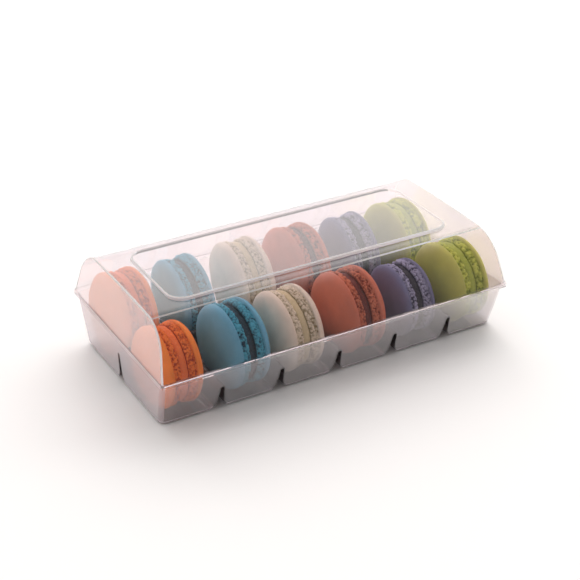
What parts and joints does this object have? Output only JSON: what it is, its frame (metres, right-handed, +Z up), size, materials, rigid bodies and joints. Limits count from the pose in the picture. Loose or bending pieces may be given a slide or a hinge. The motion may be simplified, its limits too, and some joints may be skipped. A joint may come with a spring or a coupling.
{
  "type": "box of macarons",
  "caption": "Clear thermoformed gift box with an arched lid, holding macarons that stand on edge in two rows of pockets.",
  "frame": {"origin": "centre of the box on the plane that its pockets stand on", "axes": "+X along the box from the near end to the far end, +Y from the front row to the back row, +Z up"},
  "size_m": [0.186, 0.1008, 0.052],
  "materials": {
    "clear_plastic": "clear, glossy",
    "orange_shell": "dry, satin, ruffled foot",
    "orange_filling": "soft cream",
    "teal_shell": "dry, satin, ruffled foot",
    "teal_filling": "soft cream",
    "ivory_shell": "dry, satin, ruffled foot",
    "ivory_filling": "soft cream",
    "terracotta_shell": "dry, satin, ruffled foot",
    "terracotta_filling": "soft cream",
    "slate_shell": "dry, satin, ruffled foot",
    "slate_filling": "soft cream",
    "lime_shell": "dry, satin, ruffled foot",
    "lime_filling": "soft cream"
  },
  "bodies": {
    "root": {"tray": "clear_plastic", "lid": "clear_plastic", "front_orange_shell_near": "orange_shell", "front_orange_filling": "orange_filling", "front_orange_shell_far": "orange_shell", "front_teal_shell_near": "teal_shell", "front_teal_filling": "teal_filling", "front_teal_shell_far": "teal_shell", "front_ivory_shell_near": "ivory_shell", "front_ivory_filling": "ivory_filling", "front_ivory_shell_far": "ivory_shell", "front_terracotta_shell_near": "terracotta_shell", "front_terracotta_filling": "terracotta_filling", "front_terracotta_shell_far": "terracotta_shell", "front_slate_shell_near": "slate_shell", "front_slate_filling": "slate_filling", "front_slate_shell_far": "slate_shell", "front_lime_shell_near": "lime_shell", "front_lime_filling": "lime_filling", "front_lime_shell_far": "lime_shell", "back_orange_shell_near": "orange_shell", "back_orange_filling": "orange_filling", "back_orange_shell_far": "orange_shell", "back_teal_shell_near": "teal_shell", "back_teal_filling": "teal_filling", "back_teal_shell_far": "teal_shell", "back_ivory_shell_near": "ivory_shell", "back_ivory_filling": "ivory_filling", "back_ivory_shell_far": "ivory_shell", "back_terracotta_shell_near": "terracotta_shell", "back_terracotta_filling": "terracotta_filling", "back_terracotta_shell_far": "terracotta_shell", "back_slate_shell_near": "slate_shell", "back_slate_filling": "slate_filling", "back_slate_shell_far": "slate_shell", "back_lime_shell_near": "lime_shell", "back_lime_filling": "lime_filling", "back_lime_shell_far": "lime_shell"}
  },
  "joints": []
}
